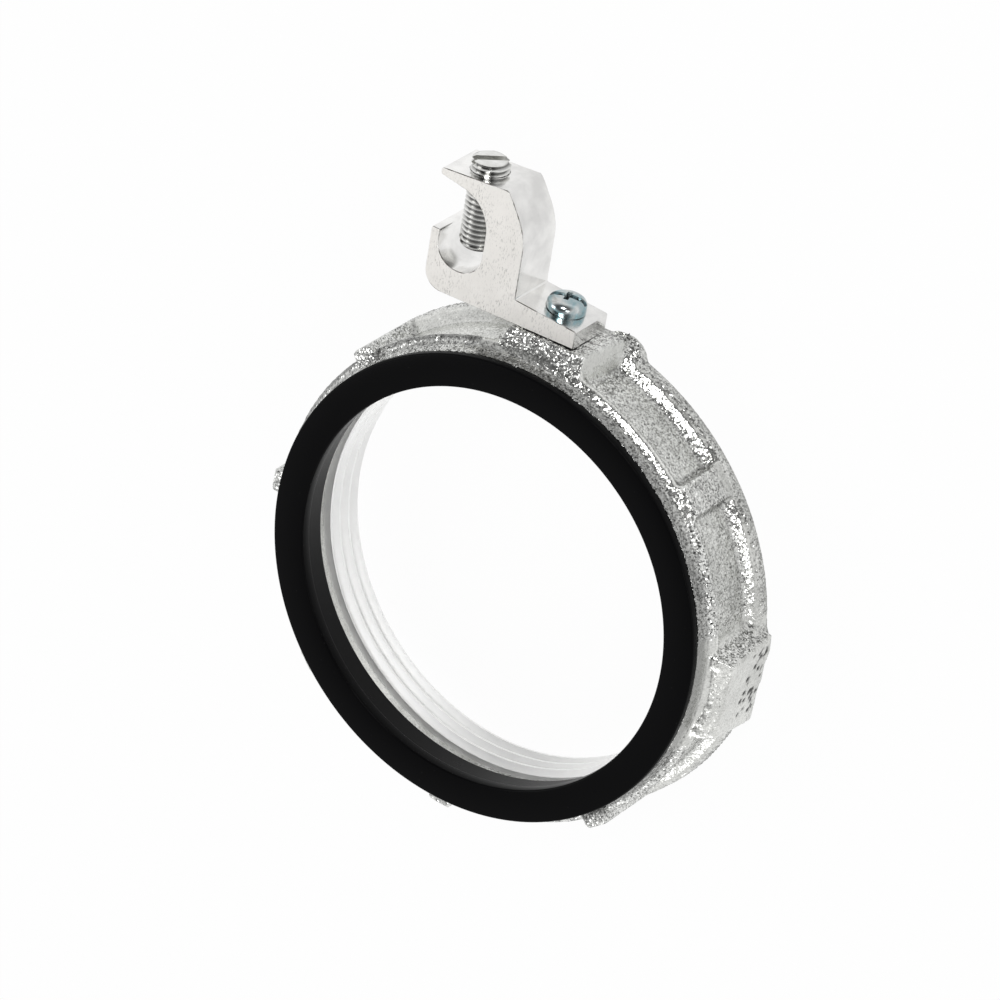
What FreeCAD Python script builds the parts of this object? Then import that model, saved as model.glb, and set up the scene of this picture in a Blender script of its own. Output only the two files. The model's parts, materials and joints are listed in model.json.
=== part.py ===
"""Insulated grounding bushing for 3 inch conduit, with a lay-in lug.

The bore axis is +Z, the threaded end face lies at z = 0 and the lug stands on the +Y side.
A malleable iron ring is cast with two wide lugs, one of them the pad under the terminal, and
six narrow ribs. A moulded liner snaps into its front, and an aluminium lug is screwed to the pad.
"""
import os

import FreeCAD
import Part
import Sketcher

# Driving dimensions, in millimetres and degrees.
SIZES = {
    # Cast ring, outwards from the bore
    "bore_radius": 44.3,
    "lead_in": 0.8,
    "ring_height": 19.8,
    "counterbore_step": 0.9,
    "counterbore_depth": 6.4,
    "ring_wall": 5.0,
    "flange_depth": 3.3,
    "flange_height": 2.2,
    "flange_slope": 2.4,
    "flange_edge": 0.7,
    "rim_depth": 1.4,
    "rim_height": 1.8,
    "rim_slope": 0.8,
    "rim_crown": 2.6,
    "rim_land": 0.4,
    # Wide cast lugs and narrow ribs, up from the ring wall
    "root_depth": 3.3,
    "pad_stand": 4.3,
    "pad_shift": 1.6,
    "pad_front_width": 17.2,
    "pad_back_width": 20.2,
    "pad_draft": 2.0,
    "pad_back": 0.5,
    "pad_front_drop": 5.0,
    "front_slope": 4.0,
    "front_run": 6.6,
    "right_lug_turn": 95,
    "rib_stand": 3.1,
    "rib_width": 4.6,
    "rib_drop": 2.2,
    "low_rib_stand": 2.4,
    "low_rib_width": 6.6,
    "low_rib_drop": 4.2,
    "rib_draft": 1.3,
    "rib_slope": 2.0,
    "rib_run": 4.4,
    "upper_right_turn": 48.5,
    "upper_left_turn": 45.2,
    "left_turn": 88.6,
    "lower_left_turn": 132,
    "bottom_turn": 176,
    "lower_right_turn": 142,
    "cast_round": 0.45,
    "tap_run_out": 1.0,
    # Insulating liner
    "liner_land": 3.3,
    "liner_proud": 1.8,
    "liner_edge": 0.5,
    "throat_step": 2.6,
    "lip_depth": 2.6,
    "lip_step": 1.0,
    "liner_fit": 0.1,
    "bead_drop": 2.6,
    "bead_depth": 0.5,
    "bead_half_height": 0.9,
    # Lay-in lug, across and above the pad
    "lug_width": 11.6,
    "lug_forward": 0.75,
    "foot_end": 7.2,
    "foot_tip_thickness": 3.7,
    "foot_root_thickness": 5.0,
    "column_face": 7.0,
    "lug_rise": 26.4,
    "shoulder_drop": 8.0,
    "top_corner": 11.9,
    "beak_reach": 27.4,
    "beak_drop": 0.8,
    "beak_thickness": 1.4,
    "roof_drop": 2.4,
    "groove_wall": 15.6,
    "groove_width": 10.1,
    "groove_floor": 5.7,
    "groove_flat": 0.5,
    "hook_height": 7.1,
    "hook_thickness": 1.9,
    "shoulder_round": 13.0,
    "roof_round": 8.0,
    "heel_round": 4.0,
    "top_round": 0.4,
    "beak_round": 0.5,
    "small_round": 0.35,
    # Binding screw, 5/16-24
    "binding_radius": 3.9,
    "binding_length": 19.05,
    "binding_fit": 0.08,
    "binding_shift": 0.5,
    "binding_gap": 3.7,
    "binding_point": 1.5,
    "binding_edge": 0.6,
    "binding_slot_width": 1.8,
    "binding_slot_depth": 2.0,
    "binding_slot_turn": -45,
    # Mounting screw, 10-32
    "mounting_radius": 2.4,
    "mounting_across": 1.2,
    "thread_fit": 0.08,
    "mounting_fit": 0.25,
    "mounting_point": 0.5,
    "mounting_grip": 5.2,
    "head_radius": 3.95,
    "head_height": 3.3,
    "head_round": 1.6,
    "head_fit": 0.2,
    "seat_step": 0.3,
    "head_slot_width": 1.1,
    "head_slot_depth": 1.4,
    "head_slot_turn": -15,
}

doc = FreeCAD.newDocument("grounding_bushing")
sheet = doc.addObject("Spreadsheet::Sheet", "sizes")
for row, (alias, value) in enumerate(SIZES.items(), start=1):
    sheet.set(f"A{row}", alias)
    sheet.set(f"B{row}", str(value))
    sheet.setAlias(f"B{row}", alias)
doc.recompute()


def new_body(name):
    """An empty body whose label names its file."""
    body = doc.addObject("PartDesign::Body", name)
    body.Label = name
    return body


def attach(feature, body, role, shift=("0", "0", "0"), turn=None):
    """Attach a feature to an origin plane of its body, shifted and turned about the plane's normal."""
    plane = next(item for item in body.Origin.OriginFeatures if item.Role == role)
    feature.AttachmentSupport = [(plane, "")]
    feature.MapMode = "FlatFace"
    for axis, distance in zip("xyz", shift):
        feature.setExpression(f"AttachmentOffset.Base.{axis}", distance)
    if turn:
        feature.setExpression("AttachmentOffset.Rotation.Angle", turn)


def new_sketch(body, name, role, shift=("0", "0", "0"), turn=None):
    """A sketch on an origin plane of its body."""
    sketch = body.newObject("Sketcher::SketchObject", name)
    attach(sketch, body, role, shift, turn)
    return sketch


def hold(sketch, kind, geometry, point, distance):
    """Hold a point at a signed distance from the sketch's origin along one axis."""
    index = sketch.addConstraint(Sketcher.Constraint(kind, -1, 1, geometry, point, 1.0))
    sketch.setExpression(f"Constraints[{index}]", distance)


def draw_outline(sketch, corners):
    """A closed outline of straight lines, each corner held by two distances from the origin."""
    count = len(corners)
    starts = [FreeCAD.Vector(index + 1, index * index, 0) for index in range(count)]
    for index in range(count):
        sketch.addGeometry(Part.LineSegment(starts[index], starts[(index + 1) % count]), False)
    for index in range(count):
        sketch.addConstraint(Sketcher.Constraint("Coincident", index, 2, (index + 1) % count, 1))
    for index, (across, up) in enumerate(corners):
        hold(sketch, "DistanceX", index, 1, across)
        hold(sketch, "DistanceY", index, 1, up)


def revolve(body, name, sketch):
    """A full turn of a sketch about its own vertical axis."""
    turned = body.newObject("PartDesign::Revolution", name)
    turned.Profile = sketch
    turned.ReferenceAxis = (sketch, ["V_Axis"])
    turned.Angle = 360
    sketch.Visibility = False
    doc.recompute()
    return turned


def round_edges(body, name, edges, radius):
    """Round the chosen edges of the body's last feature."""
    base = body.Tip
    names = [f"Edge{index + 1}" for index, edge in enumerate(base.Shape.Edges) if edges(edge)]
    fillet = body.newObject("PartDesign::Fillet", name)
    fillet.Base = (base, names)
    fillet.setExpression("Radius", radius)
    doc.recompute()
    return fillet


def at_corner(sketch, numbers):
    """A test for the upright edges that rise from the numbered corners of a sketch."""
    spots = [sketch.Placement.multVec(sketch.getPoint(number, 1)) for number in numbers]

    def test(edge):
        ends = [vertex.Point for vertex in edge.Vertexes]
        if len(ends) != 2 or abs(ends[0].z - ends[1].z) < 1:
            return False
        return any(all(abs(end.x - spot.x) + abs(end.y - spot.y) < 1e-4 for end in ends) for spot in spots)

    return test


def drill(body, name, plane_distance, across, along, radius, inward, length=None):
    """A round hole along Y from a plane, outwards through all or inwards to a length."""
    sketch = new_sketch(body, f"{name}_circle", "XZ_Plane", ("0", "0", f"-({plane_distance})"))
    sketch.addGeometry(Part.Circle(FreeCAD.Vector(0, 0, 0), FreeCAD.Vector(0, 0, 1), 1.0), False)
    hold(sketch, "DistanceX", 0, 3, across)
    hold(sketch, "DistanceY", 0, 3, along)
    size = sketch.addConstraint(Sketcher.Constraint("Radius", 0, 1.0))
    sketch.setExpression(f"Constraints[{size}]", radius)
    return pocket(body, name, sketch, inward, length)


def pocket(body, name, sketch, inward, length=None):
    """Cut a sketch that lies across Y, towards the bore or away from it."""
    before = body.Shape.Volume
    cut = body.newObject("PartDesign::Pocket", name)
    cut.Profile = sketch
    cut.Reversed = inward
    if length:
        cut.setExpression("Length", length)
    else:
        cut.Type = "ThroughAll"
    doc.recompute()
    if body.Shape.Volume >= before:
        raise RuntimeError(f"{name} cuts nothing")
    return cut


def cut_slot(body, name, top, across, along, width, radius, depth, turn):
    """A screwdriver slot right across the end of a screw."""
    sketch = new_sketch(body, f"{name}_outline", "XZ_Plane", (across, along, f"-({top})"), turn)
    draw_outline(sketch, [
        (f"-2 * {radius}", f"-{width} / 2"),
        (f"2 * {radius}", f"-{width} / 2"),
        (f"2 * {radius}", f"{width} / 2"),
        (f"-2 * {radius}", f"{width} / 2"),
    ])
    return pocket(body, name, sketch, True, depth)


# Bushing body: cast ring, section revolved about the bore
casting = new_body("bushing_body")
section = new_sketch(casting, "ring_section", "XZ_Plane")
counterbore = "sizes.bore_radius + sizes.counterbore_step"
wall = "sizes.bore_radius + sizes.ring_wall"
flange = f"{wall} + sizes.flange_depth"
rim = f"{wall} + sizes.rim_depth"
liner_outside = f"{counterbore} + sizes.liner_land"
shoulder = "sizes.ring_height - sizes.counterbore_depth"
bead_height = "sizes.ring_height - sizes.bead_drop"
bead_half = "sizes.bead_half_height + sizes.liner_fit"
rim_top = "sizes.ring_height - sizes.rim_crown"
rim_foot = f"{rim_top} - sizes.rim_height"
draw_outline(section, [
    ("sizes.bore_radius + sizes.lead_in", "0"),
    (f"{flange} - sizes.flange_edge", "0"),
    (flange, "sizes.flange_edge"),
    (flange, "sizes.flange_height"),
    (wall, "sizes.flange_height + sizes.flange_slope"),
    (wall, f"{rim_foot} - sizes.rim_slope"),
    (rim, rim_foot),
    (rim, rim_top),
    (f"{liner_outside} + sizes.rim_land", "sizes.ring_height"),
    (counterbore, "sizes.ring_height"),
    (counterbore, f"{bead_height} + {bead_half}"),
    (f"{counterbore} + sizes.bead_depth", bead_height),
    (counterbore, f"{bead_height} - ({bead_half})"),
    (counterbore, shoulder),
    ("sizes.bore_radius", shoulder),
    ("sizes.bore_radius", "sizes.lead_in"),
])
revolve(casting, "ring", section)


def add_cast_lug(name, turn, middle, stand, widths, draft, front, slope, run):
    """A drafted block on the ring wall, narrower in front, whose front slopes down to the rim."""
    reach = f"{wall} + {stand}"
    root = f"{wall} - sizes.root_depth"
    back_width, front_width = widths
    levels = [
        ("sizes.pad_back", back_width, "0"),
        (front, front_width, "0"),
        (f"{front} + {slope}", front_width, run),
    ]
    sections = []
    for number, (height, width, drop) in enumerate(levels):
        level = new_sketch(casting, f"{name}_{number}", "XY_Plane", ("0", "0", height), turn)
        spread = f"{draft} * ({drop}) / ({stand} + sizes.root_depth)"
        draw_outline(level, [
            (f"{middle} - {width} / 2 - {draft}", root),
            (f"{middle} + {width} / 2 + {draft}", root),
            (f"{middle} + {width} / 2 + {spread}", f"{reach} - {drop}"),
            (f"{middle} - {width} / 2 - {spread}", f"{reach} - {drop}"),
        ])
        level.Visibility = False
        sections.append(level)
    doc.recompute()
    block = casting.newObject("PartDesign::AdditiveLoft", name)
    block.Profile = sections[0]
    block.Sections = sections[1:]
    block.Ruled = True
    doc.recompute()
    return sections[0]


def on_outer_face(edge):
    """A test for the exposed edges round the outer faces of the wide lugs."""
    ends = [vertex.Point for vertex in edge.Vertexes]
    return any(all(abs(end.dot(outwards) - reach) < 1e-4 for end in ends) for outwards, reach in outer_faces)


wide_widths = ("sizes.pad_back_width", "sizes.pad_front_width")
pad_front = "sizes.ring_height - sizes.pad_front_drop"
wide_lugs = {
    "pad": ("0", "sizes.pad_shift"),
    "right_lug": ("-sizes.right_lug_turn", "0"),
}
outer_faces = []
for name, (turn, middle) in wide_lugs.items():
    back = add_cast_lug(name, turn, middle, "sizes.pad_stand", wide_widths, "sizes.pad_draft", pad_front,
                        "sizes.front_slope", "sizes.front_run")
    outwards = back.Placement.Rotation.multVec(FreeCAD.Vector(0, 1, 0))
    corner = back.Placement.multVec(back.getPoint(2, 1))
    outer_faces.append((outwards, corner.dot(outwards)))
narrow_rib = ("sizes.rib_stand", "sizes.rib_width", "sizes.rib_drop")
low_rib = ("sizes.low_rib_stand", "sizes.low_rib_width", "sizes.low_rib_drop")
ribs = {
    "upper_right_rib": ("-sizes.upper_right_turn", low_rib),
    "upper_left_rib": ("sizes.upper_left_turn", narrow_rib),
    "left_rib": ("sizes.left_turn", narrow_rib),
    "lower_left_rib": ("sizes.lower_left_turn", narrow_rib),
    "bottom_rib": ("sizes.bottom_turn", narrow_rib),
    "lower_right_rib": ("-sizes.lower_right_turn", narrow_rib),
}
for name, (turn, (stand, width, drop)) in ribs.items():
    add_cast_lug(name, turn, "0", stand, (width, width), "sizes.rib_draft", f"sizes.ring_height - {drop}",
                 "sizes.rib_slope", "sizes.rib_run")
round_edges(casting, "cast_rounds", on_outer_face, "sizes.cast_round")
pad_face = f"{wall} + sizes.pad_stand"
lug_middle = f"(sizes.pad_back + {pad_front}) / 2 + sizes.lug_forward"
tap_depth = f"{pad_face} - sizes.bore_radius + sizes.tap_run_out"
drill(casting, "tapped_hole", pad_face, "sizes.mounting_across", lug_middle,
      "sizes.mounting_radius + sizes.thread_fit", True, tap_depth)

# Insulating liner: moulded flange and sleeve, with a bead that snaps into the ring
liner = new_body("insulating_liner")
liner_section = new_sketch(liner, "liner_section", "XZ_Plane")
sleeve = f"{counterbore} - sizes.liner_fit"
throat = "sizes.bore_radius - sizes.throat_step"
front = "sizes.ring_height + sizes.liner_proud"
draw_outline(liner_section, [
    (liner_outside, "sizes.ring_height"),
    (liner_outside, f"{front} - sizes.liner_edge"),
    (f"{liner_outside} - sizes.liner_edge", front),
    (throat, front),
    (throat, f"{front} - sizes.lip_depth"),
    (f"{throat} + sizes.lip_step", f"{front} - sizes.lip_depth"),
    (f"{throat} + sizes.lip_step", f"{shoulder} + sizes.liner_fit"),
    (sleeve, f"{shoulder} + sizes.liner_fit"),
    (sleeve, f"{bead_height} - sizes.bead_half_height"),
    (f"{sleeve} + sizes.bead_depth", bead_height),
    (sleeve, f"{bead_height} + sizes.bead_half_height"),
    (sleeve, "sizes.ring_height"),
])
revolve(liner, "liner_ring", liner_section)

# Lay-in lug: extruded profile sawn to width, with its corners rounded by the die
lug = new_body("lay_in_lug")
lug_place = ("0", pad_face, f"{lug_middle} - sizes.lug_width / 2")
profile = new_sketch(lug, "lug_profile", "XY_Plane", lug_place)
groove_far_wall = "-sizes.groove_wall - sizes.groove_width"
hook_back = f"{groove_far_wall} - sizes.hook_thickness"
hook_rise = "sizes.groove_floor + sizes.hook_height"
beak_rise = "sizes.lug_rise - sizes.beak_drop"
beak_under = f"{beak_rise} - sizes.beak_thickness"
draw_outline(profile, [
    ("sizes.foot_end", "0"),
    ("sizes.foot_end", "sizes.foot_tip_thickness"),
    ("-sizes.column_face", "sizes.foot_root_thickness"),
    ("-sizes.column_face", "sizes.lug_rise - sizes.shoulder_drop"),
    ("-sizes.top_corner", "sizes.lug_rise"),
    ("-sizes.beak_reach", beak_rise),
    ("-sizes.beak_reach", beak_under),
    ("-sizes.groove_wall", f"{beak_under} - sizes.roof_drop"),
    ("-sizes.groove_wall", "sizes.groove_floor"),
    (groove_far_wall, "sizes.groove_floor"),
    (groove_far_wall, hook_rise),
    (hook_back, hook_rise),
    (hook_back, "0"),
])
extrusion = lug.newObject("PartDesign::Pad", "extrusion")
extrusion.Profile = profile
extrusion.setExpression("Length", "sizes.lug_width")
doc.recompute()
round_edges(lug, "shoulder", at_corner(profile, [3]), "sizes.shoulder_round")
round_edges(lug, "groove_roof", at_corner(profile, [7]), "sizes.roof_round")
round_edges(lug, "groove_bed", at_corner(profile, [8, 9]), "(sizes.groove_width - sizes.groove_flat) / 2")
round_edges(lug, "heel", at_corner(profile, [12]), "sizes.heel_round")
round_edges(lug, "top", at_corner(profile, [4]), "sizes.top_round")
round_edges(lug, "beak", at_corner(profile, [5, 6]), "sizes.beak_round")
round_edges(lug, "small_corners", at_corner(profile, [1, 2, 10, 11]), "sizes.small_round")
binding_across = "-sizes.groove_wall - sizes.groove_width / 2 + sizes.binding_shift"
binding_end = f"{pad_face} + sizes.groove_floor + sizes.binding_gap"
seat = f"{pad_face} + sizes.foot_tip_thickness + sizes.seat_step"
drill(lug, "binding_hole", binding_end, binding_across, lug_middle,
      "sizes.binding_radius + sizes.binding_fit", False)
drill(lug, "foot_hole", pad_face, "sizes.mounting_across", lug_middle,
      "sizes.mounting_radius + sizes.mounting_fit", False)
drill(lug, "spot_face", seat, "sizes.mounting_across", lug_middle,
      "sizes.head_radius + sizes.head_fit", False)

# Binding screw: slotted set screw with a rounded point
binding = new_body("binding_screw")
binding_place = (binding_across, binding_end, lug_middle)
binding_section = new_sketch(binding, "binding_section", "XY_Plane", binding_place)
draw_outline(binding_section, [
    ("0", "0"),
    ("sizes.binding_radius - sizes.binding_point", "0"),
    ("sizes.binding_radius", "sizes.binding_point"),
    ("sizes.binding_radius", "sizes.binding_length - sizes.binding_edge"),
    ("sizes.binding_radius - sizes.binding_edge", "sizes.binding_length"),
    ("0", "sizes.binding_length"),
])
revolve(binding, "binding_shank", binding_section)
cut_slot(binding, "binding_slot", f"{binding_end} + sizes.binding_length", binding_across, lug_middle,
         "sizes.binding_slot_width", "sizes.binding_radius", "sizes.binding_slot_depth",
         "sizes.binding_slot_turn")

# Mounting screw: domed head on the foot, shank in the tapped pad
mounting = new_body("mounting_screw")
mounting_place = ("sizes.mounting_across", seat, lug_middle)
mounting_section = new_sketch(mounting, "mounting_section", "XY_Plane", mounting_place)
shank_end = "-sizes.foot_tip_thickness - sizes.seat_step - sizes.mounting_grip"
draw_outline(mounting_section, [
    ("0", shank_end),
    ("sizes.mounting_radius - sizes.mounting_point", shank_end),
    ("sizes.mounting_radius", f"{shank_end} + sizes.mounting_point"),
    ("sizes.mounting_radius", "0"),
    ("sizes.head_radius", "0"),
    ("sizes.head_radius", "sizes.head_height"),
    ("0", "sizes.head_height"),
])
revolve(mounting, "mounting_blank", mounting_section)
head_top = mounting.Shape.BoundBox.YMax
round_edges(mounting, "head_dome", lambda edge: abs(edge.CenterOfMass.y - head_top) < 1e-4
            and isinstance(edge.Curve, Part.Circle), "sizes.head_round")
cut_slot(mounting, "head_slot", f"{seat} + sizes.head_height", "sizes.mounting_across", lug_middle,
         "sizes.head_slot_width", "sizes.head_radius", "sizes.head_slot_depth",
         "sizes.head_slot_turn")

# Check every feature, then write each piece to its own file
doc.recompute()
failed = [item.Label for item in doc.Objects if "Invalid" in item.State or "Error" in item.State]
pieces = [casting, liner, lug, binding, mounting]
failed += [piece.Label for piece in pieces if piece.Shape.isNull() or not piece.Shape.isValid()]
if failed:
    raise RuntimeError(f"failed: {failed}")
os.makedirs("parts", exist_ok=True)
for piece in pieces:
    piece.Shape.exportStep(f"parts/{piece.Label}.step")
    print(piece.Label, len(piece.Shape.Solids), round(piece.Shape.Volume, 1), piece.Shape.BoundBox)
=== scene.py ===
import json
import math
import random

import bmesh
import bpy
from mathutils import Matrix, Vector, noise


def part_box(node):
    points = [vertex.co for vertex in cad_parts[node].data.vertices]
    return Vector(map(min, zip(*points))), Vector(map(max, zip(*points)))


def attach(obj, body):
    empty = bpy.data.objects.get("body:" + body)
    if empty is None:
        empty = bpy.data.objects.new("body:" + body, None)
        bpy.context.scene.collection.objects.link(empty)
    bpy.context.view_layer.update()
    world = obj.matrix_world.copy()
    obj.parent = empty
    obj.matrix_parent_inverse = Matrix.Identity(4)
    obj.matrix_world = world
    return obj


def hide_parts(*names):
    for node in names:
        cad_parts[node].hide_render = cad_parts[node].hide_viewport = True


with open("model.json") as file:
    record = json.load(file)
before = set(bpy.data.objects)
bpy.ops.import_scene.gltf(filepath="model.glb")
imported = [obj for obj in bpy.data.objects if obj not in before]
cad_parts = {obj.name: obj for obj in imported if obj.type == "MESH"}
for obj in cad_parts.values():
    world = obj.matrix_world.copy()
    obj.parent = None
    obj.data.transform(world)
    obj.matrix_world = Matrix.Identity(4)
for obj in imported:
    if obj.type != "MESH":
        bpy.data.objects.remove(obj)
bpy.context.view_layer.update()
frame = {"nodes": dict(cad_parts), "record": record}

# Cast ring: sand-cast malleable iron with a flat pad, a wide lug and six ribs, zinc plated all over.
# The mould leaves a grainy, lumpy skin; the bore and the end face are machined clean.
# It screws onto the end of the conduit and carries all the other pieces.
MM = 0.001
weld = 0.002 * MM
ring_skin_size = 0.48 * MM
skin_tolerance = 0.5 * MM
skin_blending = 2
machined_radius = 45.9 * MM
machined_depth = 0.5 * MM
machined_softening = 3
threaded_height = 8.0 * MM
grain_size = 0.75 * MM
grain_depth = 0.10 * MM
lump_sizes = (1.2 * MM, 2.6 * MM)
lump_depths = (0.20 * MM, 0.16 * MM)
# Hollowness, which darkens the casting's inside corners as painted shade.
relief_level = 0.5
relief_gain = 2.0

pocket_radius = 49.9 * MM
pocket_heights = (4.2 * MM, 15.0 * MM)
slope_radius = 52.3 * MM
slope_heights = (2.4 * MM, 4.1 * MM)
flange_edge_radius = 51.4 * MM
flange_edge_height = 2.9 * MM
flange_lump_size = 3.4 * MM
flange_lump_depth = 0.5 * MM

rim_radius = 50.7 * MM
rim_draft = math.tan(math.radians(15))
rim_draft_height = 16.2 * MM
rim_lip_height = 1.1 * MM
rim_lip_depth = 1.2 * MM
rim_edge_radii = (49.3 * MM, 50.95 * MM)
rim_edge_heights = (15.8 * MM, 17.4 * MM)
rim_edge_turn = math.radians(52)
# Painted shade and painted reflection: the rim's outer edge on the left and a band of the seat beside the
# black liner are darkened by this share.
rim_painted_shade = 0.28
rim_painted_shade_height = 16.9 * MM
seat_painted_shade_radius = 49.5 * MM
seat_painted_shade_fade = 0.6 * MM
seat_painted_shade_height = 17.0 * MM

flat_reach = 53.6 * MM
pad_front_turn = math.radians(13)
pad_front_height = 10.0 * MM
pad_side_turns = (math.radians(10), math.radians(15.5))
pad_side_facing = 0.75
flare_turns = (math.radians(8.5), math.radians(18.0))
flare_height = 5.0 * MM
flare_reach = 3.0 * MM
flare_radius = 55.6 * MM

wide_lug_turn = math.radians(95)
lug_outwards = Vector((math.sin(wide_lug_turn), math.cos(wide_lug_turn), 0))
lug_along = Vector((-lug_outwards.y, lug_outwards.x, 0))
wide_lug_half_turn = math.radians(15)
wide_lug_side_facing = 0.3
pit_seed = 7
pit_count = 34
pit_sizes = (0.35 * MM, 0.85 * MM)
pit_depth = 0.35 * MM
pit_half_width = 8.5 * MM
pit_heights = (1.6 * MM, 8.2 * MM)

# How grainy and how lumpy the skin is on each part of the casting.
bare_thread_skin = (0.12, 0.0)
lug_flat_skin = (0.3, 0.1)
lug_side_skin = (1.0, 1.0)
lug_rest_skin = (0.25, 0.1)
slope_skin = (0.3, 0.3)
rim_edge_skin = (0.15, 0.1)
pad_side_skin = (0.15, 0.05)
pad_front_skin = (0.95, 1.0)
left_pocket_skin = (0.3, 0.15)
pocket_skin = (0.8, 0.3)
flange_edge_skin = (1.0, 0.9)
open_skin = (1.0, 0.6)


def merged_copy(node):
    """A node's mesh with its loose triangles joined."""
    bm = bmesh.new()
    bm.from_mesh(frame["nodes"][node].data)
    bmesh.ops.remove_doubles(bm, verts=bm.verts, dist=weld)
    return bm


def new_piece(name, bm, material, body, node=None):
    """Put a finished mesh on the body that carries it."""
    mesh = bpy.data.meshes.new(name)
    bm.to_mesh(mesh)
    bm.free()
    mesh.materials.append(material)
    piece = bpy.data.objects.new(name, mesh)
    bpy.context.scene.collection.objects.link(piece)
    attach(piece, body)
    if node:
        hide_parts(node)
    return piece


def with_modifier(bm, kind, **settings):
    """The mesh after one modifier."""
    mesh = bpy.data.meshes.new("work")
    bm.to_mesh(mesh)
    bm.free()
    work = bpy.data.objects.new("work", mesh)
    bpy.context.scene.collection.objects.link(work)
    modifier = work.modifiers.new("work", kind)
    for name, value in settings.items():
        setattr(modifier, name, value)
    evaluated = work.evaluated_get(bpy.context.evaluated_depsgraph_get())
    result = bpy.data.meshes.new_from_object(evaluated)
    out = bmesh.new()
    out.from_mesh(result)
    bpy.data.objects.remove(work)
    bpy.data.meshes.remove(mesh)
    bpy.data.meshes.remove(result)
    return out


def polar(place):
    """Distance from the bore's axis, and turn from the lug's side towards +X."""
    return math.hypot(place.x, place.y), math.atan2(place.x, place.y)


def set_radius(vert, radius):
    """Move a vertex straight in or out to a distance from the axis."""
    share = radius / math.hypot(vert.co.x, vert.co.y)
    vert.co.x *= share
    vert.co.y *= share


def is_machined(place):
    """Whether a place on the ring is in the bore or on the end face."""
    return math.hypot(place.x, place.y) < machined_radius or place.z < machined_depth


def on_rim_edge(place):
    """Whether a place on the ring is on the outer edge of its front rim."""
    radius, _ = polar(place)
    return (rim_edge_radii[0] < radius < rim_edge_radii[1]
            and rim_edge_heights[0] < place.z < rim_edge_heights[1])


def on_flange_edge(place):
    """Whether a place on the ring is on the rough edge of its flange."""
    radius, _ = polar(place)
    return radius > flange_edge_radius and place.z < flange_edge_height


def on_lug_flat(place):
    """Whether a place on the ring is on the flat of the wide lug."""
    return place.dot(lug_outwards) > flat_reach - skin_tolerance


def cast_skin(vert):
    """How grainy and how lumpy the casting is at a vertex."""
    radius, turn = polar(vert.co)
    height = vert.co.z
    in_pocket = radius < pocket_radius and pocket_heights[0] < height < pocket_heights[1]
    if is_machined(vert.co) and height < threaded_height:
        return bare_thread_skin
    if on_lug_flat(vert.co):
        return lug_flat_skin
    if radius < slope_radius and slope_heights[0] < height < slope_heights[1]:
        return slope_skin
    if on_rim_edge(vert.co) and -pad_front_turn < turn < rim_edge_turn:
        return rim_edge_skin
    if abs(turn - wide_lug_turn) < wide_lug_half_turn and radius > machined_radius:
        side = radius > pocket_radius and vert.normal.dot(lug_along) > wide_lug_side_facing
        return lug_side_skin if side else lug_rest_skin
    if pad_side_turns[0] < turn < pad_side_turns[1] and radius > pocket_radius:
        if vert.normal.x > pad_side_facing:
            return pad_side_skin
    if turn < -pad_front_turn and in_pocket:
        return left_pocket_skin
    if is_machined(vert.co) or in_pocket:
        return pocket_skin
    if abs(turn) < pad_front_turn and height > pad_front_height:
        return pad_front_skin
    return flange_edge_skin if on_flange_edge(vert.co) else open_skin


def swell(place, size):
    """Smooth bumps of a size, from 0 to 1."""
    return 0.5 + 0.5 * noise.noise(place / size)


def lug_pits():
    """Gas pits in the back half of the wide lug's flat: centre and size of each."""
    chance = random.Random(pit_seed)
    pits = []
    for _ in range(pit_count):
        shift = -lug_along * chance.uniform(-pit_half_width, pit_half_width)
        height = Vector((0, 0, chance.uniform(*pit_heights)))
        pits.append((lug_outwards * flat_reach + shift + height, chance.uniform(*pit_sizes)))
    return pits


def put(tree, kind, inputs=None, **settings):
    """Add a shader node, set it up and join its inputs."""
    added = tree.nodes.new(kind)
    for name, value in settings.items():
        setattr(added, name, value)
    for name, value in (inputs or {}).items():
        if isinstance(value, bpy.types.NodeSocket):
            tree.links.new(value, added.inputs[name])
        else:
            added.inputs[name].default_value = value
    return added


def ramp(tree, value, *stops):
    """A colour ramp of greys or colours over a value."""
    added = put(tree, "ShaderNodeValToRGB", {"Fac": value})
    elements = added.color_ramp.elements
    while len(elements) < len(stops):
        elements.new(0.5)
    for element, (place, colour) in zip(elements, stops):
        element.position = place
        element.color = (*colour, 1) if isinstance(colour, tuple) else (colour, colour, colour, 1)
    return added.outputs["Color"]


def laid_over(tree, share, under, over, how="MIX"):
    """One colour laid over another."""
    return put(tree, "ShaderNodeMix", {0: share, 6: under, 7: over},
               data_type="RGBA", blend_type=how).outputs[2]


def reckon(tree, how, *values):
    """A value worked out from others."""
    return put(tree, "ShaderNodeMath", dict(enumerate(values)), operation=how).outputs[0]


def spread(tree, value, low, high):
    """A value spread between two levels."""
    return put(tree, "ShaderNodeMapRange",
               {"Value": value, "To Min": low, "To Max": high}).outputs["Result"]


def painted(tree, name):
    """A value stored on the piece's own mesh."""
    return put(tree, "ShaderNodeAttribute", attribute_name=name).outputs["Fac"]


def speckle(tree, place, scale, **settings):
    """Noise at a scale."""
    return put(tree, "ShaderNodeTexNoise", {"Vector": place, "Scale": scale, **settings})


def new_material(name):
    """An empty material with its node tree, shader and Object coordinates."""
    material = bpy.data.materials.new(name)
    material.use_nodes = True
    tree = material.node_tree
    place = put(tree, "ShaderNodeTexCoord").outputs["Object"]
    return material, tree, tree.nodes["Principled BSDF"], place


def dress(tree, shader, colour, rough, normal):
    """Join a material's colour, roughness and normal to its shader."""
    tree.links.new(colour, shader.inputs["Base Color"])
    tree.links.new(rough, shader.inputs["Roughness"])
    tree.links.new(normal, shader.inputs["Normal"])


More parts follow.
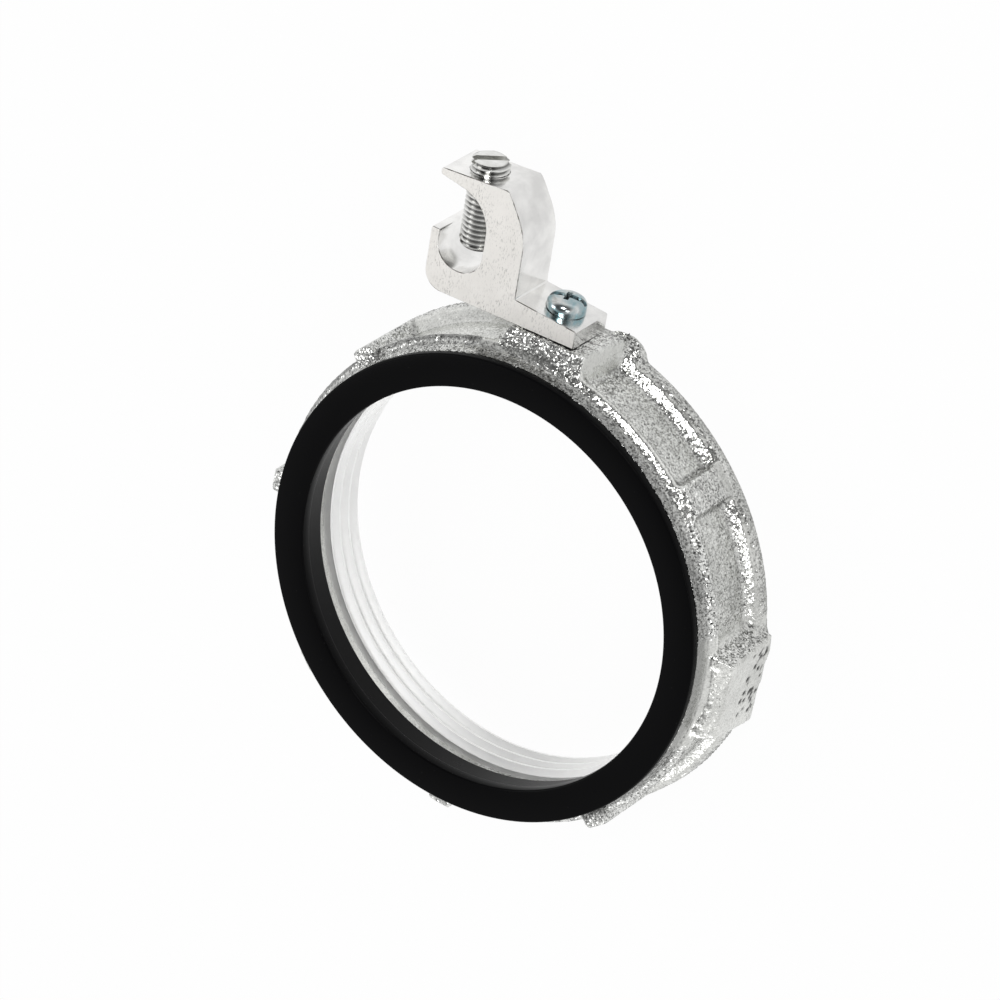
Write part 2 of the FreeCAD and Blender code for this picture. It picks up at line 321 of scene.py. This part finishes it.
def plating_clouds():
    """Slow drifts of tone that zinc plate and bare metal show, as a shared group."""
    group = bpy.data.node_groups.new("plating_clouds", "ShaderNodeTree")
    group.interface.new_socket("Vector", in_out="INPUT", socket_type="NodeSocketVector")
    group.interface.new_socket("Size", in_out="INPUT", socket_type="NodeSocketFloat")
    group.interface.new_socket("Clouds", in_out="OUTPUT", socket_type="NodeSocketFloat")
    entry = group.nodes.new("NodeGroupInput")
    leave = group.nodes.new("NodeGroupOutput")
    drifts = speckle(group, entry.outputs["Vector"], entry.outputs["Size"], Detail=4.0, Roughness=0.55)
    group.links.new(drifts.outputs["Fac"], leave.inputs["Clouds"])
    return group


clouds_group = plating_clouds()


def tone_clouds(tree, place, size):
    """The shared clouds at a material's own size."""
    clouds = put(tree, "ShaderNodeGroup", {"Vector": place, "Size": size}, node_tree=clouds_group)
    return clouds.outputs["Clouds"]


def cast_zinc():
    """Zinc plate over a sandy skin: every grain is a small facet that leans its own way."""
    material, tree, shader, place = new_material("cast_zinc")
    skin = painted(tree, "as_cast")
    lumpy = painted(tree, "lumpy")
    clouds = tone_clouds(tree, place, 90.0)
    warp = speckle(tree, place, 3200.0, Detail=2.0)
    shifted = put(tree, "ShaderNodeVectorMath",
                  {0: warp.outputs["Color"], 1: (0.4 * MM,) * 3, 2: place}, operation="MULTIPLY_ADD")
    grains = put(tree, "ShaderNodeTexVoronoi",
                 {"Vector": shifted.outputs[0], "Scale": 3300.0, "Randomness": 1.0}).outputs["Color"]
    patches = speckle(tree, place, 900.0, Detail=2.0, Roughness=0.6)
    tone = ramp(tree, put(tree, "ShaderNodeSeparateColor", {0: grains}).outputs[0],
                (0.0, 0.22), (0.30, 0.66), (0.75, 1.0))
    shade = ramp(tree, clouds, (0.32, (0.76, 0.765, 0.745)), (0.66, (0.98, 0.985, 0.96)))
    patchy = ramp(tree, patches.outputs["Fac"], (0.37, 0.74), (0.57, 1.0))
    # Painted shade: hollows and inside corners of the casting are darkened.
    crease_shade = ramp(tree, painted(tree, "relief"), (0.58, 1.0), (0.85, 0.48))
    # Painted shade: pits, the seat beside the liner and the rim's left edge are darkened here, the seat
    # band partly as a painted reflection of the black liner.
    pits = ramp(tree, painted(tree, "pits_and_painted_shade"), (0.05, 1.0), (0.45, 0.10))
    colour = laid_over(tree, skin, (0.84, 0.84, 0.83, 1), tone)
    for share, layer in ((1.0, shade), (lumpy, patchy), (1.0, crease_shade), (1.0, pits)):
        colour = laid_over(tree, share, colour, layer, "MULTIPLY")
    leaning = put(tree, "ShaderNodeVectorMath", {0: grains, 1: (0.5, 0.5, 0.5)}, operation="SUBTRACT")
    lean = reckon(tree, "MULTIPLY_ADD", lumpy, 0.15, reckon(tree, "MULTIPLY", skin, 0.62))
    lent = put(tree, "ShaderNodeVectorMath", {0: leaning.outputs[0], "Scale": lean}, operation="SCALE")
    upright = put(tree, "ShaderNodeNewGeometry").outputs["Normal"]
    tilted = put(tree, "ShaderNodeVectorMath", {0: upright, 1: lent.outputs[0]}, operation="ADD")
    facets = put(tree, "ShaderNodeVectorMath", {0: tilted.outputs[0]}, operation="NORMALIZE")
    dress(tree, shader, colour, spread(tree, clouds, 0.13, 0.26), facets.outputs[0])
    shader.inputs["Metallic"].default_value = 1.0
    return material


ring = with_modifier(merged_copy("bushing_body"), "REMESH", mode="VOXEL", voxel_size=ring_skin_size)
for vert in ring.verts:
    radius, turn = polar(vert.co)
    if flare_turns[0] < turn < flare_turns[1] and radius > pocket_radius and vert.co.z < flare_height:
        fade = math.sin(math.pi * (turn - flare_turns[0]) / (flare_turns[1] - flare_turns[0])) ** 0.5
        reach = radius + flare_reach * fade * (1 - vert.co.z / flare_height)
        set_radius(vert, max(radius, min(reach, flare_radius, flat_reach / math.cos(turn))))
    lip = rim_lip_depth * min((vert.co.z - rim_draft_height) / rim_lip_height, 1)
    drafted = rim_radius - lip - rim_draft * (vert.co.z - rim_draft_height)
    if vert.co.z > rim_draft_height and drafted < radius < rim_radius + skin_tolerance:
        set_radius(vert, drafted)
machined_skin = [vert for vert in ring.verts if is_machined(vert.co)]
for _ in range(machined_softening):
    bmesh.ops.smooth_vert(ring, verts=machined_skin, factor=0.5,
                          use_axis_x=True, use_axis_y=True, use_axis_z=True)
ring.normal_update()
as_cast = ring.verts.layers.float.new("as_cast")
lumpy = ring.verts.layers.float.new("lumpy")
relief = ring.verts.layers.float.new("relief")
pits_and_painted_shade = ring.verts.layers.float.new("pits_and_painted_shade")
# Painted shade and painted reflection beside the liner and along the rim's left edge are stored with the
# pits, because both darken the plate.
for vert in ring.verts:
    vert[as_cast], vert[lumpy] = cast_skin(vert)
    radius, turn = polar(vert.co)
    if turn < -pad_front_turn and on_rim_edge(vert.co) and vert.co.z < rim_painted_shade_height:
        vert[pits_and_painted_shade] = rim_painted_shade
    beside_liner = machined_radius < radius < seat_painted_shade_radius and vert.co.z > seat_painted_shade_height
    if turn > -pad_front_turn and beside_liner:
        vert[pits_and_painted_shade] = rim_painted_shade * min((seat_painted_shade_radius - radius) / seat_painted_shade_fade, 1)
    # The hollowness stored here darkens the plate as painted shade.
    around = [edge.other_vert(vert).co - vert.co for edge in vert.link_edges]
    hollow = sum(step.dot(vert.normal) for step in around) / sum(step.length for step in around)
    vert[relief] = relief_level + relief_gain * hollow
for _ in range(skin_blending):
    for layer in (as_cast, lumpy):
        blended = [sum(edge.other_vert(vert)[layer] for edge in vert.link_edges) / len(vert.link_edges)
                   for vert in ring.verts]
        for vert, value in zip(ring.verts, blended):
            vert[layer] = value
pits = lug_pits()
for vert in ring.verts:
    if is_machined(vert.co):
        continue
    depth = vert[as_cast] * grain_depth * swell(vert.co, grain_size)
    for size, deepest in zip(lump_sizes, lump_depths):
        depth += vert[lumpy] * deepest * swell(vert.co, size)
    if on_lug_flat(vert.co):
        for centre, size in pits:
            vert[pits_and_painted_shade] = max(vert[pits_and_painted_shade], 1 - (vert.co - centre).length / size)
        depth += vert[pits_and_painted_shade] * pit_depth
    if on_flange_edge(vert.co):
        depth += flange_lump_depth * swell(vert.co, flange_lump_size)
    vert.co -= vert.normal * depth
for face in ring.faces:
    face.smooth = True
new_piece("cast_ring", ring, cast_zinc(), "bushing", "bushing_body")

# Conduit thread: right-hand taper pipe thread, eight to the inch, cut in the bore and plated with it.
# A ridge of flat-topped section winds up the bore between the end face and the liner.
inch = 25.4
mounts = {mount["name"]: mount for mount in frame["record"]["mounts"]}
bore_radius = mounts["conduit_thread"]["dims"]["r_mm"] * MM
bore_length = mounts["conduit_thread"]["dims"]["length_mm"] * MM
thread_pitch = inch / 8 * MM
thread_height = 1.7 * MM
thread_land = 0.5 * MM
thread_root = 0.25 * MM
thread_fill = 0.94
thread_steps = 96
thread_crease = 25
thread_low = 0.7 * MM
thread_runout = 2.2 * MM
thread_high = bore_length - thread_runout
cut_tolerance = 0.001 * MM


def smooth_by_angle(bm, angle):
    """Shade smoothly except across edges that turn by more than an angle."""
    for face in bm.faces:
        face.smooth = True
    for edge in bm.edges:
        edge.smooth = len(edge.link_faces) == 2 and edge.calc_face_angle(0) < math.radians(angle)


def trim(bm, place, outwards, above=-math.inf):
    """Cut off what lies beyond a plane and close the cut, on faces that reach above a place on Y."""
    faces = [face for face in bm.faces if max(vert.co.y for vert in face.verts) > above]
    edges = dict.fromkeys(edge for face in faces for edge in face.edges)
    verts = dict.fromkeys(vert for face in faces for vert in face.verts)
    bmesh.ops.bisect_plane(bm, geom=[*verts, *edges, *faces], plane_co=place, plane_no=outwards,
                           clear_outer=True, dist=cut_tolerance)
    bmesh.ops.holes_fill(bm, edges=[edge for edge in bm.edges if edge.is_boundary])


def section(profile, closed):
    """A mesh that holds only a section in the XZ plane, and the section."""
    bm = bmesh.new()
    corners = [bm.verts.new((across, 0, up)) for across, up in profile]
    edges = [bm.edges.new(pair) for pair in zip(corners, corners[1:])]
    if closed:
        edges.append(bm.edges.new((corners[-1], corners[0])))
    return bm, corners + edges


def wind(profile, closed, steps, turns, pitch):
    """A helix wound up Z from a section in the XZ plane."""
    bm, outline = section(profile, closed)
    bmesh.ops.spin(bm, geom=outline, cent=(0, 0, 0), axis=(0, 0, 1), dvec=(0, 0, pitch / steps),
                   angle=2 * math.pi * turns, steps=steps * turns, use_merge=False)
    return bm


def bumps(tree, height, strength, depth):
    """A normal with small bumps."""
    added = put(tree, "ShaderNodeBump", {"Strength": strength, "Distance": depth, "Height": height})
    return added.outputs["Normal"]


def cut_zinc():
    """Zinc plate over a machined thread, with faint tool marks."""
    material, tree, shader, place = new_material("cut_zinc")
    clouds = tone_clouds(tree, place, 260.0)
    colour = ramp(tree, clouds, (0.3, (0.95, 0.95, 0.945)), (0.7, (1.0, 1.0, 0.995)))
    stretch = put(tree, "ShaderNodeMapping", {"Vector": place, "Scale": (1.0, 1.0, 9.0)})
    marks = speckle(tree, stretch.outputs[0], 900.0, Detail=2.0)
    dress(tree, shader, colour, spread(tree, clouds, 0.55, 0.68),
          bumps(tree, marks.outputs["Fac"], 0.35, 0.05 * MM))
    shader.inputs["Metallic"].default_value = 1.0
    return material


thread_turns = math.ceil((thread_high - thread_low) / thread_pitch) + 2
inside = bore_radius + thread_root
flank = (thread_pitch - thread_land) / 2 * thread_fill
crest_radius = bore_radius - thread_height
start = thread_low - thread_pitch
thread = wind([
    (inside, start),
    (crest_radius, start + flank),
    (crest_radius, start + flank + thread_land),
    (inside, start + 2 * flank + thread_land),
], True, thread_steps, thread_turns, thread_pitch)
trim(thread, (0, 0, thread_low), (0, 0, -1))
trim(thread, (0, 0, thread_high), (0, 0, 1))
bmesh.ops.recalc_face_normals(thread, faces=thread.faces)
smooth_by_angle(thread, thread_crease)
new_piece("conduit_thread", thread, cut_zinc(), "bushing")

# Insulating liner: black thermoplastic throat, moulded in one piece and snapped into the ring's front.
# Its flange covers the ring's edge, a lip narrows the throat, and a sleeve goes down inside.
liner_low, liner_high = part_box("insulating_liner")
liner_outside = liner_high.x
liner_front = liner_high.z
liner_back = liner_low.z
liner_flange = 1.8 * MM
throat_radius = mounts["wire_throat"]["dims"]["r_mm"] * MM
lip_depth = mounts["wire_throat"]["dims"]["length_mm"] * MM
lip_step = 1.0 * MM
sleeve_radius = 45.1 * MM
liner_round = 0.35 * MM
liner_round_steps = 3
liner_sharp = 35
liner_crease = 40
liner_steps = 240


def moulded_black():
    """Satin black plastic with a fine moulded texture and a little dust."""
    material, tree, shader, place = new_material("moulded_black")
    clouds = tone_clouds(tree, place, 120.0)
    dust = put(tree, "ShaderNodeTexVoronoi", {"Vector": place, "Scale": 420.0, "Randomness": 1.0})
    speck = ramp(tree, dust.outputs["Distance"],
                 (0.02, (0.014, 0.014, 0.014)), (0.06, (0.0022, 0.0022, 0.0025)))
    texture = speckle(tree, place, 2600.0, Detail=2.0)
    dress(tree, shader, speck, spread(tree, clouds, 0.24, 0.34),
          bumps(tree, texture.outputs["Fac"], 0.2, 0.03 * MM))
    shader.inputs["Specular IOR Level"].default_value = 0.045
    return material


def turn_round(profile, closed, steps):
    """A full turn about Z of a section in the XZ plane."""
    bm, outline = section(profile, closed)
    bmesh.ops.spin(bm, geom=outline, cent=(0, 0, 0), axis=(0, 0, 1), angle=2 * math.pi, steps=steps,
                   use_merge=True)
    bmesh.ops.remove_doubles(bm, verts=bm.verts, dist=cut_tolerance)
    bmesh.ops.recalc_face_normals(bm, faces=bm.faces)
    return bm


def soften(bm, width, angle, segments):
    """Round every edge that turns by more than an angle."""
    sharp = [edge for edge in bm.edges
             if len(edge.link_faces) == 2 and edge.calc_face_angle(0) > math.radians(angle)]
    bmesh.ops.bevel(bm, geom=sharp, offset=width, offset_type="OFFSET", affect="EDGES",
                    segments=segments, profile=0.5, material=-1, clamp_overlap=True)


liner = turn_round([
    (liner_outside, liner_front - liner_flange),
    (liner_outside, liner_front),
    (throat_radius, liner_front),
    (throat_radius, liner_front - lip_depth),
    (throat_radius + lip_step, liner_front - lip_depth),
    (throat_radius + lip_step, liner_back),
    (sleeve_radius, liner_back),
    (sleeve_radius, liner_front - liner_flange),
], True, liner_steps)
soften(liner, liner_round, liner_sharp, liner_round_steps)
smooth_by_angle(liner, liner_crease)
new_piece("liner", liner, moulded_black(), "bushing", "insulating_liner")

# Lay-in lug: aluminium bar extruded in a hook shape, sawn to width, drilled and tapped for its screws.
# The die leaves the groove and the back bright and smooth; the saw scratches both cut faces upright
# and leaves a torn burr along their edges, whose shadow is painted as a dark ragged line on their right
# and upper edges. Its foot is screwed down on the ring's pad.
lug_low, lug_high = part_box("lay_in_lug")
lug_top = lug_high.y
top_tolerance = 0.01 * MM
shoulder_round = 1.3 * MM
shoulder_lean = math.radians(58.5)
shoulder_cuts = 6
flat_angle = math.radians(1)
sawn_facing = 0.99
drawn_facing = 0.3
burr_width = 0.13 * MM
burr_steps = 2
burr_shadow_side = -0.3
burr_shadow_top = -0.4
sliver = 0.003 * MM
lug_crease = 50


def sawn_aluminium():
    """Extruded aluminium, with saw scratches on the faces that look along the bore, and a painted burr
    shadow on some of their edges.
    """
    material, tree, shader, place = new_material("sawn_aluminium")
    normal = put(tree, "ShaderNodeTexCoord").outputs["Normal"]
    along_bore = put(tree, "ShaderNodeSeparateXYZ", {0: normal}).outputs["Z"]
    face = ramp(tree, reckon(tree, "ABSOLUTE", along_bore), (0.80, 0.0), (0.95, 1.0))
    clouds = tone_clouds(tree, place, 140.0)
    upright = put(tree, "ShaderNodeMapping", {"Vector": place, "Scale": (1.0, 0.30, 1.0)})
    scratch = speckle(tree, upright.outputs[0], 4200.0, Detail=3.0, Roughness=0.65).outputs["Fac"]
    specks = ramp(tree, scratch, (0.33, 0.60), (0.46, 1.0))
    strokes = ramp(tree, speckle(tree, place, 240.0, Detail=2.0).outputs["Fac"], (0.40, 0.2), (0.60, 1.0))
    scuffs = laid_over(tree, reckon(tree, "MULTIPLY", face, strokes), (1, 1, 1, 1), specks)
    bare = ramp(tree, clouds, (0.3, (0.90, 0.88, 0.845)), (0.7, (0.95, 0.93, 0.895)))
    drawn = ramp(tree, clouds, (0.36, (0.76, 0.755, 0.745)), (0.62, (0.94, 0.935, 0.92)))
    colour = laid_over(tree, 1.0, laid_over(tree, face, drawn, bare), scuffs, "MULTIPLY")
    # Painted shadow: a ragged dark line along the burred edges.
    torn = ramp(tree, speckle(tree, place, 420.0, Detail=4.0).outputs["Fac"], (0.40, 0.0), (0.58, 1.0))
    ragged_shadow = reckon(tree, "MULTIPLY", painted(tree, "burr_shadow"), torn)
    with_burr_shadow = laid_over(tree, ragged_shadow, colour, (0.08, 0.07, 0.06, 1))
    lines = reckon(tree, "MULTIPLY", scratch, face)
    dress(tree, shader, with_burr_shadow, spread(tree, face, 0.17, 0.46), bumps(tree, lines, 0.35, 0.05 * MM))
    shader.inputs["Metallic"].default_value = 1.0
    return material


lug = merged_copy("lay_in_lug")
shoulder = max(vert.co.x for vert in lug.verts if vert.co.y > lug_top - top_tolerance)
shoulder -= shoulder_round * math.tan(shoulder_lean / 2)
shoulder_middle = Vector((shoulder, lug_top - shoulder_round, 0))
for cut in range(shoulder_cuts):
    lean = shoulder_lean * (cut + 0.5) / shoulder_cuts
    outwards = Vector((math.sin(lean), math.cos(lean), 0))
    trim(lug, shoulder_middle + outwards * shoulder_round, outwards, shoulder_middle.y)
bmesh.ops.dissolve_limit(lug, angle_limit=flat_angle, verts=lug.verts, edges=lug.edges)
burr_shadow = lug.faces.layers.float.new("burr_shadow")
sawn_edges = []
for edge in lug.edges:
    facing = [abs(face.normal.z) for face in edge.link_faces]
    if max(facing) > sawn_facing and min(facing) < drawn_facing:
        sawn_edges.append(edge)
broken = bmesh.ops.bevel(lug, geom=sawn_edges, offset=burr_width, offset_type="OFFSET", affect="EDGES",
                         segments=burr_steps, profile=0.5, material=-1, clamp_overlap=False)["faces"]
lug.normal_update()
# Painted shadow of the burr: only the right and upper rounded edges are darkened.
for face in broken:
    face[burr_shadow] = face.normal.x > burr_shadow_side and face.normal.y > burr_shadow_top
bmesh.ops.remove_doubles(lug, verts=lug.verts, dist=sliver)
bmesh.ops.dissolve_degenerate(lug, dist=sliver, edges=lug.edges)
smooth_by_angle(lug, lug_crease)
lug_piece = new_piece("lug", lug, sawn_aluminium(), "bushing", "lay_in_lug")
lug_piece.modifiers.new("even_faces", "WEIGHTED_NORMAL").keep_sharp = True

# Mounting screw: zinc-plated machine screw, 10-32, with a domed head that takes a flat or a cross driver.
# It holds the lug's foot down on the pad, with its thread in the tapped hole.
mounting_low, mounting_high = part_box("mounting_screw")
mounting_middle = (mounting_low + mounting_high) / 2
mounting_pitch = inch / 32 * MM
mounting_radius = 2.4 * MM
mounting_core = 1.95 * MM
foot_seat = 4.0 * MM
head_base = lug_low.y + foot_seat
head_height = mounting_high.y - head_base
head_radius = 3.95 * MM
head_round = 1.6 * MM
head_round_steps = 8
head_crown = 0.25 * MM
head_crown_places = (0.75, 0.5, 0.25, 0.0)
head_skirt = 0.12 * MM
head_slot = 1.4 * MM
head_slot_depth = 1.45 * MM
head_slot_turn = math.radians(15)
head_edge = 0.07 * MM
head_edge_steps = 2
head_sharp = 40
head_crease = 35
head_steps = 72
cross_length = 3.5 * MM
cross_width = 1.0 * MM
screw_steps = 40
screw_crease = 30
# Where a screw's crest ends and its root starts and ends, in pitches.
crest_end, root_start, root_end = -0.86, -0.52, -0.34
root_share = 0.5
# Painted shade: how dark slots and thread roots are made.
hollow_shade_tone = 0.30


def shaded_in_hollows(tree, colour):
    """A colour darkened in slots and thread roots, as painted shade."""
    recess_shade = ramp(tree, painted(tree, "recess"), (0.0, 1.0), (1.0, hollow_shade_tone))
    return laid_over(tree, 1.0, colour, recess_shade, "MULTIPLY")


def bluish_zinc():
    """Bright zinc plate with a blue-green passivated film."""
    material, tree, shader, place = new_material("bluish_zinc")
    clouds = tone_clouds(tree, place, 420.0)
    film = ramp(tree, clouds, (0.34, (0.27, 0.42, 0.46)), (0.50, (0.46, 0.54, 0.56)),
                (0.66, (0.66, 0.67, 0.66)))
    dents = speckle(tree, place, 900.0, Detail=2.0)
    dress(tree, shader, shaded_in_hollows(tree, film), spread(tree, clouds, 0.10, 0.24),
          bumps(tree, dents.outputs["Fac"], 0.25, 0.06 * MM))
    shader.inputs["Metallic"].default_value = 1.0
    return material


def threaded_rod(crest, core, pitch, length):
    """A right-hand thread along Z, from zero up to a length, closed at both ends."""
    turns = math.ceil(length / pitch) + 2
    bm = wind([
        (crest, -pitch),
        (crest, crest_end * pitch),
        (core, root_start * pitch),
        (core, root_end * pitch),
        (crest, 0),
    ], False, screw_steps, turns, pitch)
    bmesh.ops.remove_doubles(bm, verts=bm.verts, dist=weld)
    trim(bm, (0, 0, 0), (0, 0, -1))
    trim(bm, (0, 0, length), (0, 0, 1))
    bmesh.ops.recalc_face_normals(bm, faces=bm.faces)
    recess = bm.verts.layers.float.new("recess")
    for vert in bm.verts:
        depth = (crest - math.hypot(vert.co.x, vert.co.y)) / (crest - core)
        vert[recess] = depth > root_share and 0 < vert.co.z < length
    return bm


def slot_cutter(size, place, turn):
    """A block that cuts a driver slot, turned about Z."""
    bm = bmesh.new()
    bmesh.ops.create_cube(bm, size=1.0)
    bmesh.ops.scale(bm, vec=size, verts=bm.verts)
    bmesh.ops.rotate(bm, cent=(0, 0, 0), matrix=Matrix.Rotation(turn, 3, "Z"), verts=bm.verts)
    bmesh.ops.translate(bm, vec=place, verts=bm.verts)
    return bm


def cut_away(bm, cutter):
    """The mesh less a cutter."""
    mesh = bpy.data.meshes.new("cutter")
    cutter.to_mesh(mesh)
    cutter.free()
    tool = bpy.data.objects.new("cutter", mesh)
    bpy.context.scene.collection.objects.link(tool)
    out = with_modifier(bm, "BOOLEAN", object=tool, operation="DIFFERENCE", solver="EXACT")
    bpy.data.objects.remove(tool)
    bpy.data.meshes.remove(mesh)
    return out


def stand_along_y(bm, across, foot, up):
    """Turn a piece made along Z to stand along Y at its place."""
    bmesh.ops.rotate(bm, cent=(0, 0, 0), matrix=Matrix.Rotation(math.radians(-90), 3, "X"), verts=bm.verts)
    bmesh.ops.translate(bm, vec=(across, foot, up), verts=bm.verts)


head_outline = [(0, 0), (head_radius - head_skirt, 0), (head_radius, head_skirt)]
round_across = head_radius - head_round
round_up = head_height - head_crown - head_round
for step in range(head_round_steps + 1):
    lean = math.pi / 2 * step / head_round_steps
    head_outline.append((round_across + head_round * math.cos(lean),
                         round_up + head_round * math.sin(lean)))
for share in head_crown_places:
    head_outline.append((round_across * share, head_height - head_crown * share * share))
head = turn_round(head_outline, False, head_steps)
slot_top = (0, 0, head_height)
for size in ((4 * head_radius, head_slot, 2 * head_slot_depth),
             (cross_width, cross_length, 2 * head_slot_depth)):
    head = cut_away(head, slot_cutter(size, slot_top, head_slot_turn))
recess = head.verts.layers.float.new("recess")
for vert in head.verts:
    across = math.hypot(vert.co.x, vert.co.y)
    vert[recess] = across < head_radius - head_round and vert.co.z < head_height - 2 * head_crown
soften(head, head_edge, head_sharp, head_edge_steps)
smooth_by_angle(head, head_crease)
stand_along_y(head, mounting_middle.x, head_base, mounting_middle.z)
blue_zinc = bluish_zinc()
new_piece("mounting_screw_head", head, blue_zinc, "bushing", "mounting_screw")
shank = threaded_rod(mounting_radius, mounting_core, mounting_pitch, head_base - mounting_low.y)
smooth_by_angle(shank, screw_crease)
stand_along_y(shank, mounting_middle.x, mounting_low.y, mounting_middle.z)
new_piece("mounting_screw_shank", shank, blue_zinc, "bushing")

# Binding screw: slotted set screw, 5/16-24, turned from steel and bright plated, with a rounded point.
# It goes down through the tapped top of the lug and clamps the wire in the groove.
binding_low, binding_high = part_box("binding_screw")
binding_middle = (binding_low + binding_high) / 2
binding_length = binding_high.y - binding_low.y
binding_radius = (binding_high.x - binding_low.x) / 2
binding_thread_depth = 0.58 * MM
binding_core = binding_radius - binding_thread_depth
binding_pitch = inch / 24 * MM
point_radius = 2.2 * MM
point_length = 1.7 * MM
top_radius = 3.1 * MM
top_length = 0.7 * MM
driver_slot = 1.8 * MM
driver_slot_depth = 1.9 * MM
driver_slot_turn = math.radians(45)


def bright_steel():
    """Bright plated steel with faint turning marks."""
    material, tree, shader, place = new_material("bright_steel")
    clouds = tone_clouds(tree, place, 500.0)
    plate = ramp(tree, clouds, (0.3, (0.70, 0.70, 0.68)), (0.7, (0.90, 0.90, 0.885)))
    dents = speckle(tree, place, 1300.0, Detail=2.0)
    dress(tree, shader, shaded_in_hollows(tree, plate), spread(tree, clouds, 0.12, 0.26),
          bumps(tree, dents.outputs["Fac"], 0.2, 0.05 * MM))
    shader.inputs["Metallic"].default_value = 1.0
    return material


def round_end(bm, place, radius, full, length, upwards):
    """Turn an end of a screw down to a rounded point."""
    for vert in bm.verts:
        reach = (place - vert.co.z) * upwards / length
        if reach >= 1:
            continue
        allowed = radius + (full - radius) * math.sqrt(1 - (1 - max(reach, 0)) ** 2)
        if math.hypot(vert.co.x, vert.co.y) > allowed:
            set_radius(vert, allowed)


binding = threaded_rod(binding_radius, binding_core, binding_pitch, binding_length)
round_end(binding, 0, point_radius, binding_radius, point_length, -1)
round_end(binding, binding_length, top_radius, binding_radius, top_length, 1)
binding = cut_away(binding, slot_cutter((4 * binding_radius, driver_slot, 2 * driver_slot_depth),
                                        (0, 0, binding_length), driver_slot_turn))
smooth_by_angle(binding, screw_crease)
stand_along_y(binding, binding_middle.x, binding_low.y, binding_middle.z)
new_piece("binding_set_screw", binding, bright_steel(), "binding_screw", "binding_screw")

# Floor: a wide sheet of white paper under the part, which keeps its soft shadow.
# It is white in the picture, and the metal sees it white with one grey band on the camera's side.
floor_size = 8.0
floor_white = 0.96
floor_matte = (0.86, 0.86, 0.86, 1)
floor_reach = 120 * MM
floor_slant = (0.8 / floor_reach, 0.6 / floor_reach, 0.0)
floor_band = ((0.21, 0.9), (0.50, 0.22), (0.57, 0.25), (0.66, 1.0))


def white_paper():
    """Matte paper that shows as plain white to the camera and, but for its grey band, in reflections."""
    material = bpy.data.materials.new("white_paper")
    material.use_nodes = True
    tree = material.node_tree
    tree.nodes.clear()
    ray = put(tree, "ShaderNodeLightPath")
    reflected = reckon(tree, "MAXIMUM", ray.outputs["Is Glossy Ray"], ray.outputs["Is Transmission Ray"])
    place = put(tree, "ShaderNodeTexCoord").outputs["Object"]
    across = put(tree, "ShaderNodeVectorMath", {0: place, 1: floor_slant}, operation="DOT_PRODUCT")
    banded = reckon(tree, "MULTIPLY", reflected, ramp(tree, across.outputs["Value"], *floor_band))
    direct = reckon(tree, "MULTIPLY", ray.outputs["Is Camera Ray"], floor_white)
    matte = put(tree, "ShaderNodeBsdfDiffuse", {"Color": floor_matte})
    glow = put(tree, "ShaderNodeEmission", {"Color": (1, 1, 1, 1), "Strength": 1.0})
    sheet = put(tree, "ShaderNodeMixShader", {0: reckon(tree, "MAXIMUM", direct, banded),
                                              1: matte.outputs[0], 2: glow.outputs[0]})
    put(tree, "ShaderNodeOutputMaterial", {"Surface": sheet.outputs[0]})
    return material


floor = bmesh.new()
bmesh.ops.create_grid(floor, x_segments=1, y_segments=1, size=floor_size / 2)
floor_mesh = bpy.data.meshes.new("floor")
floor.to_mesh(floor_mesh)
floor.free()
floor_mesh.materials.append(white_paper())
floor_sheet = bpy.data.objects.new("floor", floor_mesh)
bpy.context.scene.collection.objects.link(floor_sheet)

# Studio light: a bright room with one dim side above the picture, and four square softboxes.
# All four point at the middle of the ring.
room_strength = 0.85
room_tones = ((0.50, 0.95), (0.82, 0.10))
dim_side = Vector((0.1, 0.4, 0.9)).normalized()
world = bpy.data.worlds.new("studio")
bpy.context.scene.world = world
world.use_nodes = True
room = world.node_tree
towards = put(room, "ShaderNodeTexCoord").outputs["Generated"]
side = put(room, "ShaderNodeVectorMath", {0: towards, 1: dim_side}, operation="DOT_PRODUCT")
level = ramp(room, side.outputs["Value"], *room_tones)
room.links.new(level, room.nodes["Background"].inputs["Color"])
room.nodes["Background"].inputs["Strength"].default_value = room_strength


def soft_lamp(name, place, size, power):
    """A square softbox pointed at the part."""
    light = bpy.data.lights.new(name, "AREA")
    light.size = size
    light.energy = power
    lamp = bpy.data.objects.new(name, light)
    lamp.location = place
    lamp.rotation_euler = (-Vector(place)).to_track_quat("-Z", "Y").to_euler()
    bpy.context.scene.collection.objects.link(lamp)


soft_lamp("left_lamp", (-0.85, -0.05, 0.85), 0.5, 2.3)
soft_lamp("low_lamp", (0.25, -0.95, 0.60), 0.5, 1.7)
soft_lamp("camera_lamp", (0.20, 0.64, 0.97), 0.4, 4.0)
soft_lamp("side_lamp", (0.72, 0.02, 0.94), 0.3, 1.6)

# Camera: a long lens at the photograph's angle, rolled so that the lug stands up in the picture.
# Its place and lens come from the circles of the liner and ring and the corners of the lug.
camera_azimuth = math.radians(48.54)
camera_elevation = math.radians(50.40)
camera_roll = math.radians(-121.61)
camera_distance = 1516.95 * MM
camera_aim = Vector((-10.31, 7.77, 0.83)) * MM
camera_lens = 278.35
camera_sensor = 36.0
lens = bpy.data.cameras.new("camera")
lens.lens = camera_lens
lens.sensor_width = camera_sensor
lens.sensor_fit = "HORIZONTAL"
camera = bpy.data.objects.new("camera", lens)
back = Vector((math.cos(camera_azimuth) * math.cos(camera_elevation),
               math.sin(camera_azimuth) * math.cos(camera_elevation), math.sin(camera_elevation)))
camera.location = camera_aim + back * camera_distance
level_turn = back.to_track_quat("Z", "Y")
camera.rotation_euler = (level_turn.to_matrix() @ Matrix.Rotation(camera_roll, 3, "Z")).to_euler()
bpy.context.scene.collection.objects.link(camera)
bpy.context.scene.camera = camera
bpy.context.scene.view_settings.view_transform = "Standard"
